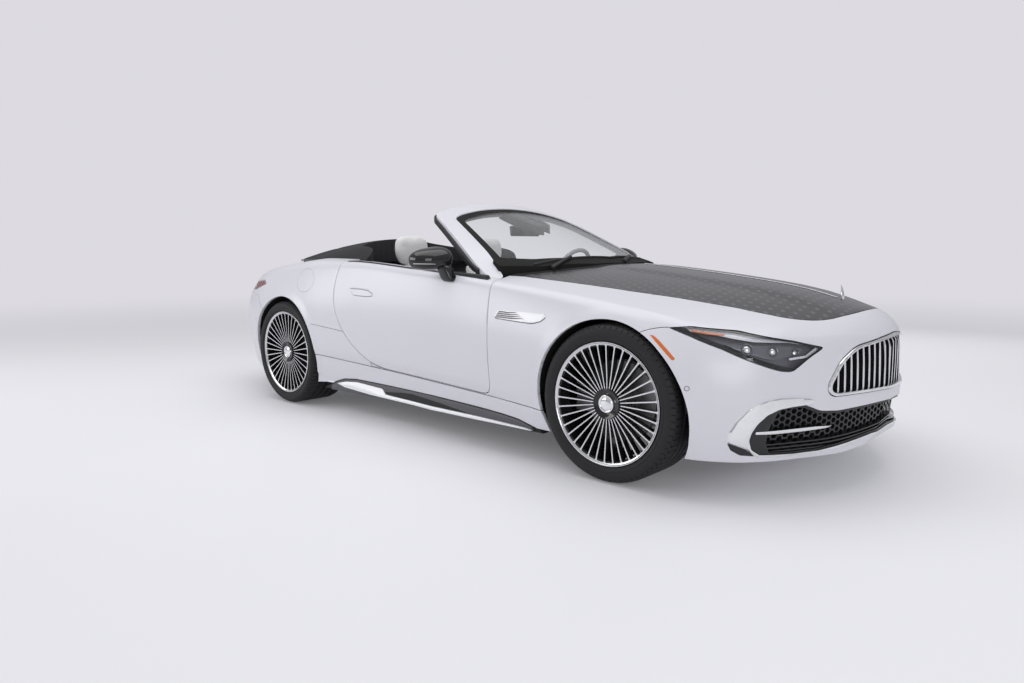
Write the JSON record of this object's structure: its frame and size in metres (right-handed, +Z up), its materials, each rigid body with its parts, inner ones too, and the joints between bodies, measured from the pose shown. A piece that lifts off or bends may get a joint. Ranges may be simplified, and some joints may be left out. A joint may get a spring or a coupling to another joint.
{
  "type": "convertible roadster car",
  "caption": "Long-bonnet open two-seat roadster with pale satin body, dark bonnet, upright-bladed grille, raked windscreen and fine-spoked wheels",
  "frame": {"origin": "centre of the bounding box on the ground plane, midway along the car", "axes": "+X to the front of the car, +Y to its left side, +Z up"},
  "size_m": [4.7, 2.114, 1.3734],
  "materials": {
    "body_paint": "satin pale grey-white",
    "bonnet_paint": "satin dark graphite",
    "black_trim": "dark plastic",
    "bright_trim": "polished",
    "glass": "clear laminated",
    "lamp_clear": "clear cover over dark lamp",
    "lamp_red": "red lens",
    "light_leather": "soft pale",
    "dark_trim": "dark soft trim",
    "pale_trim": "pale grey",
    "roof_cloth": "woven dark",
    "cast_metal": "rough",
    "exhaust_steel": "brushed",
    "wheel_alloy": "turned faces",
    "tyre_rubber": "rubber"
  },
  "bodies": {
    "body_shell": {"floor_pan": "black_trim", "front_structure": "black_trim", "rear_structure": "black_trim", "front_bumper": "body_paint", "rear_bumper": "body_paint", "fender_left": "body_paint", "fender_right": "body_paint", "quarter_left": "body_paint", "quarter_right": "body_paint", "sill_left": "body_paint", "sill_right": "body_paint", "windshield_frame": "body_paint", "windshield": "glass", "cowl": "black_trim", "dashboard": "dark_trim", "console": "dark_trim", "seat_left": "light_leather", "seat_right": "light_leather", "rear_bench": "light_leather", "roof_cover": "roof_cloth", "engine": "cast_metal", "upper_grille": "bright_trim", "lower_grille": "black_trim", "headlamp_left": "lamp_clear", "headlamp_right": "lamp_clear", "tail_lamp_left": "lamp_red", "tail_lamp_right": "lamp_red", "front_subframe": "cast_metal", "rear_subframe": "cast_metal", "rear_carrier_left": "cast_metal", "rear_carrier_right": "cast_metal", "exhaust": "exhaust_steel"},
    "bonnet_body": {"bonnet": "bonnet_paint", "ornament": "bright_trim"},
    "boot_body": {"boot_lid": "body_paint"},
    "door_left_body": {"door_left": "body_paint", "mirror_left": "black_trim"},
    "door_right_body": {"door_right": "body_paint", "mirror_right": "black_trim"},
    "steering_wheel_body": {"steering_wheel": "pale_trim"},
    "knuckle_left_body": {"knuckle_left": "cast_metal"},
    "knuckle_right_body": {"knuckle_right": "cast_metal"},
    "wheel_front_left_body": {"wheel_front_left": "wheel_alloy", "tyre_front_left": "tyre_rubber"},
    "wheel_front_right_body": {"wheel_front_right": "wheel_alloy", "tyre_front_right": "tyre_rubber"},
    "wheel_rear_left_body": {"wheel_rear_left": "wheel_alloy", "tyre_rear_left": "tyre_rubber"},
    "wheel_rear_right_body": {"wheel_rear_right": "wheel_alloy", "tyre_rear_right": "tyre_rubber"}
  },
  "joints": [
    {"name": "bonnet_lift", "type": "hinge", "parent": "body_shell", "child": "bonnet_body", "pos_m": [0.6, 0, 0.9], "axis": [0, -1, 0], "range_deg": [0, 50]},
    {"name": "boot_lift", "type": "hinge", "parent": "body_shell", "child": "boot_body", "pos_m": [-1.44, 0, 1.022], "axis": [0, 1, 0], "range_deg": [0, 70]},
    {"name": "door_left_swing", "type": "hinge", "parent": "body_shell", "child": "door_left_body", "pos_m": [0.677, 0.932, 0.62], "axis": [0, 0, -1], "range_deg": [0, 65]},
    {"name": "door_right_swing", "type": "hinge", "parent": "body_shell", "child": "door_right_body", "pos_m": [0.677, -0.932, 0.62], "axis": [0, 0, 1], "range_deg": [0, 65]},
    {"name": "steer_right", "type": "hinge", "parent": "body_shell", "child": "knuckle_right_body", "pos_m": [1.405, -0.8, 0.363], "axis": [0, 0, 1], "range_deg": [-32, 32]},
    {"name": "steer_left", "type": "hinge", "parent": "body_shell", "child": "knuckle_left_body", "pos_m": [1.405, 0.8, 0.363], "axis": [0, 0, 1], "range_deg": [-32, 32]},
    {"name": "steering_wheel_turn", "type": "hinge", "parent": "body_shell", "child": "steering_wheel_body", "pos_m": [0.21, 0.37, 0.9], "axis": [-0.9063, 0, 0.4226], "range_deg": [-448, 448]},
    {"name": "wheel_front_left_spin", "type": "hinge", "parent": "knuckle_left_body", "child": "wheel_front_left_body", "pos_m": [1.405, 0.8, 0.363], "axis": [0, 1, 0], "continuous": true},
    {"name": "wheel_front_right_spin", "type": "hinge", "parent": "knuckle_right_body", "child": "wheel_front_right_body", "pos_m": [1.405, -0.8, 0.363], "axis": [0, 1, 0], "continuous": true},
    {"name": "wheel_rear_left_spin", "type": "hinge", "parent": "body_shell", "child": "wheel_rear_left_body", "pos_m": [-1.295, 0.8, 0.358], "axis": [0, 1, 0], "continuous": true},
    {"name": "wheel_rear_right_spin", "type": "hinge", "parent": "body_shell", "child": "wheel_rear_right_body", "pos_m": [-1.295, -0.8, 0.358], "axis": [0, 1, 0], "continuous": true}
  ],
  "couplings": [
    {"joint": "steer_left", "follows": "steer_right", "ratio": 1},
    {"joint": "steering_wheel_turn", "follows": "steer_right", "ratio": 14}
  ]
}
